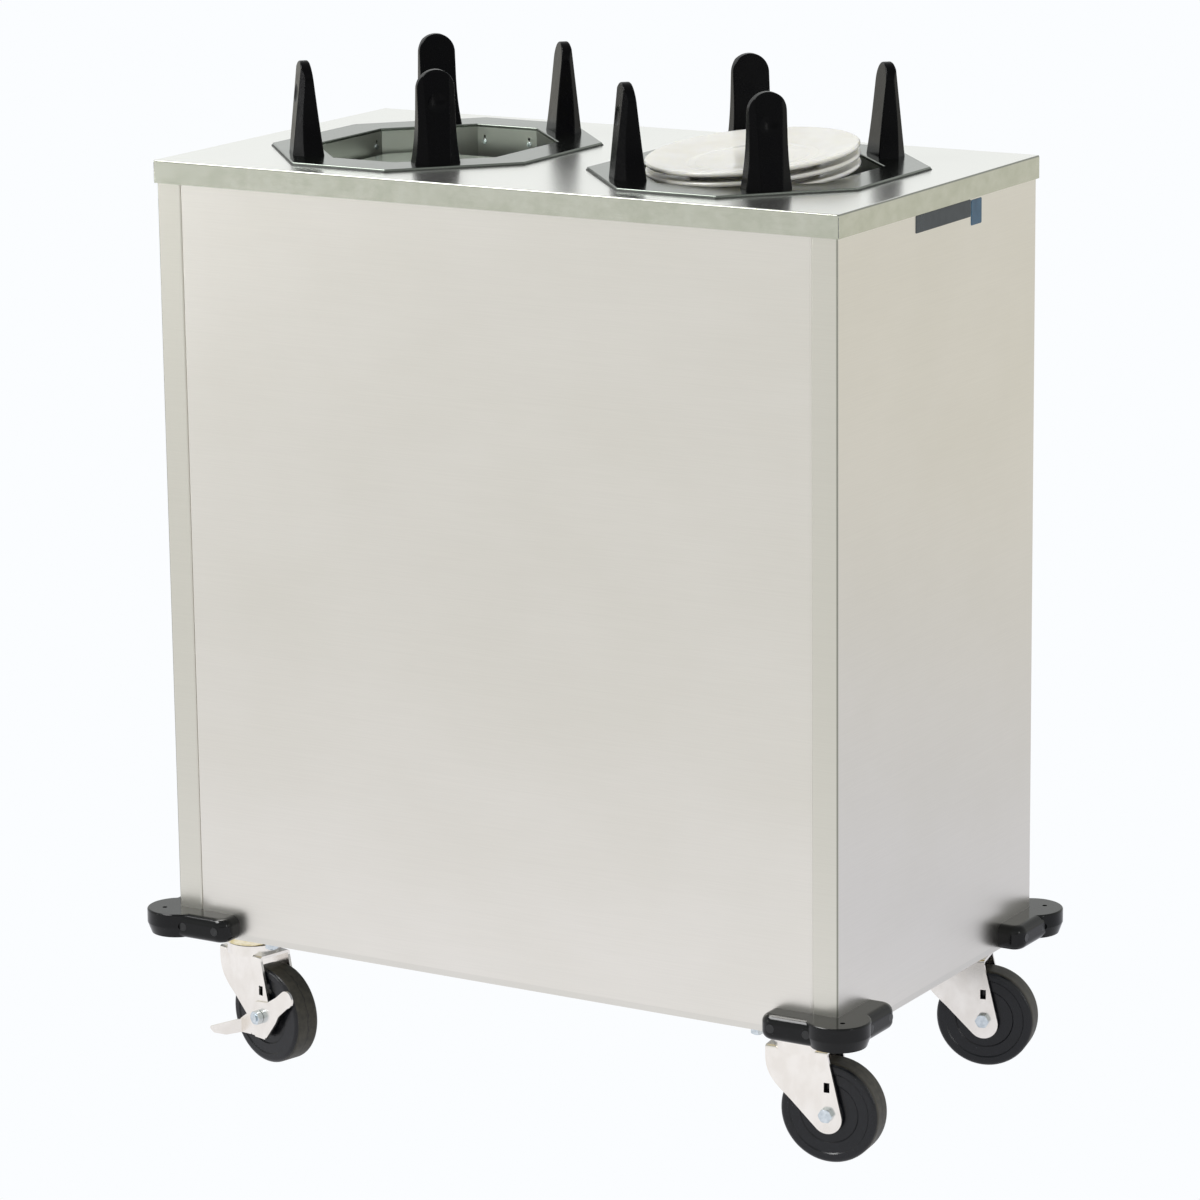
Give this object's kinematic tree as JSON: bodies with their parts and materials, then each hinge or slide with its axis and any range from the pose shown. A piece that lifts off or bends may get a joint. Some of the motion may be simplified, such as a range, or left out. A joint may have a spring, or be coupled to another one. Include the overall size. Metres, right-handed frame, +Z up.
{
  "type": "plate dispenser cart",
  "caption": "Enclosed stainless cart with octagonal self-levelling plate wells, upright guide posts, corner bumpers and swivel casters.",
  "frame": {"origin": "on the floor, under the centre of the cabinet", "axes": "+Z up; +X to the right along the cabinet, from the left well to the right well; -Y towards the front panel"},
  "size_m": [0.8368, 0.4838, 1.0335],
  "materials": {
    "stainless_sheet": "satin to bright rolled stainless sheet",
    "inner_steel": "dull galvanised",
    "plated_steel": "bright zinc or nickel plate",
    "fastener_steel": "bright zinc plate",
    "spring_wire": "drawn wire",
    "post_plastic": "black, moulded, glossy",
    "bumper_plastic": "black, soft gloss",
    "plug_plastic": "black",
    "nylon": "natural nylon",
    "wheel_rubber": "dark grey, moulded",
    "glazed_china": "off-white glaze"
  },
  "bodies": {
    "cabinet": {"back_left_bumper": "bumper_plastic", "back_panel": "stainless_sheet", "back_right_bumper": "bumper_plastic", "base_pan": "inner_steel", "bumper_plugs": "plug_plastic", "bumper_screws": "fastener_steel", "caster_bolts": "fastener_steel", "caster_channels": "inner_steel", "caster_top_plates": "plated_steel", "collar_rivets": "fastener_steel", "front_left_bumper": "bumper_plastic", "front_panel": "stainless_sheet", "front_right_bumper": "bumper_plastic", "left_collar": "stainless_sheet", "left_guide_rails": "inner_steel", "left_rim_plate": "stainless_sheet", "left_side_panel": "stainless_sheet", "left_spring_hangers": "inner_steel", "left_springs": "spring_wire", "left_well_back_left_post": "post_plastic", "left_well_back_right_post": "post_plastic", "left_well_front_left_post": "post_plastic", "left_well_front_right_post": "post_plastic", "lid": "stainless_sheet", "post_screws": "fastener_steel", "right_collar": "stainless_sheet", "right_guide_rails": "inner_steel", "right_rim_plate": "stainless_sheet", "right_side_panel": "stainless_sheet", "right_spring_hangers": "inner_steel", "right_springs": "spring_wire", "right_well_back_left_post": "post_plastic", "right_well_back_right_post": "post_plastic", "right_well_front_left_post": "post_plastic", "right_well_front_right_post": "post_plastic"},
    "left_carrier": {"left_carrier_platform": "stainless_sheet", "left_carrier_column": "inner_steel", "left_carrier_yoke": "inner_steel", "left_guide_shoes": "nylon"},
    "right_carrier": {"right_carrier_platform": "stainless_sheet", "right_carrier_column": "inner_steel", "right_carrier_yoke": "inner_steel", "right_guide_shoes": "nylon"},
    "plates": {"lower_plate": "glazed_china", "middle_plate": "glazed_china", "upper_plate": "glazed_china"},
    "front_right_swivel": {"front_right_fork": "plated_steel", "front_right_axle": "fastener_steel"},
    "front_right_wheel_body": {"front_right_wheel": "wheel_rubber"},
    "back_right_swivel": {"back_right_fork": "plated_steel", "back_right_axle": "fastener_steel"},
    "back_right_wheel_body": {"back_right_wheel": "wheel_rubber"},
    "front_left_swivel": {"front_left_fork": "plated_steel", "front_left_axle": "fastener_steel"},
    "front_left_wheel_body": {"front_left_wheel": "wheel_rubber"},
    "front_left_brake": {"front_left_brake_lever": "plated_steel"},
    "back_left_swivel": {"back_left_fork": "plated_steel", "back_left_axle": "fastener_steel"},
    "back_left_wheel_body": {"back_left_wheel": "wheel_rubber"},
    "back_left_brake": {"back_left_brake_lever": "plated_steel"}
  },
  "joints": [
    {"name": "left_carrier_slide", "type": "slide", "parent": "cabinet", "child": "left_carrier", "axis": [0, 0, 1], "range_m": [-0.44, 0], "stiffness_N_per_m": 500, "springref_m": 0.12, "deforming": ["left_springs"]},
    {"name": "right_carrier_slide", "type": "slide", "parent": "cabinet", "child": "right_carrier", "axis": [0, 0, 1], "range_m": [-0.44, 0], "stiffness_N_per_m": 500, "springref_m": 0.12, "deforming": ["right_springs"]},
    {"name": "plates_lift", "type": "slide", "parent": "right_carrier", "child": "plates", "axis": [0, 0, 1], "range_m": [0, 0.25]},
    {"name": "front_right_swivel_turn", "type": "hinge", "parent": "cabinet", "child": "front_right_swivel", "pos_m": [0.3235, -0.1655, 0.125], "axis": [0, 0, 1], "continuous": true},
    {"name": "front_right_wheel_roll", "type": "hinge", "parent": "front_right_swivel", "child": "front_right_wheel_body", "pos_m": [0.35578, -0.16171, 0.0508], "axis": [0.1167, -0.9932, 0], "continuous": true},
    {"name": "back_right_swivel_turn", "type": "hinge", "parent": "cabinet", "child": "back_right_swivel", "pos_m": [0.3235, 0.1655, 0.125], "axis": [0, 0, 1], "continuous": true},
    {"name": "back_right_wheel_roll", "type": "hinge", "parent": "back_right_swivel", "child": "back_right_wheel_body", "pos_m": [0.3552, 0.17264, 0.0508], "axis": [0.2198, -0.9755, 0], "continuous": true},
    {"name": "front_left_swivel_turn", "type": "hinge", "parent": "cabinet", "child": "front_left_swivel", "pos_m": [-0.3235, -0.1655, 0.125], "axis": [0, 0, 1], "continuous": true},
    {"name": "front_left_wheel_roll", "type": "hinge", "parent": "front_left_swivel", "child": "front_left_wheel_body", "pos_m": [-0.29214, -0.17402, 0.0508], "axis": [-0.2622, -0.965, 0], "continuous": true},
    {"name": "front_left_brake_press", "type": "hinge", "parent": "front_left_swivel", "child": "front_left_brake", "pos_m": [-0.29214, -0.17402, 0.0508], "axis": [-0.2622, -0.965, 0], "range_deg": [-25, 0]},
    {"name": "back_left_swivel_turn", "type": "hinge", "parent": "cabinet", "child": "back_left_swivel", "pos_m": [-0.3235, 0.1655, 0.125], "axis": [0, 0, 1], "continuous": true},
    {"name": "back_left_wheel_roll", "type": "hinge", "parent": "back_left_swivel", "child": "back_left_wheel_body", "pos_m": [-0.2914, 0.16042, 0.0508], "axis": [-0.1564, -0.9877, 0], "continuous": true},
    {"name": "back_left_brake_press", "type": "hinge", "parent": "back_left_swivel", "child": "back_left_brake", "pos_m": [-0.2914, 0.16042, 0.0508], "axis": [-0.1564, -0.9877, 0], "range_deg": [-25, 0]}
  ]
}
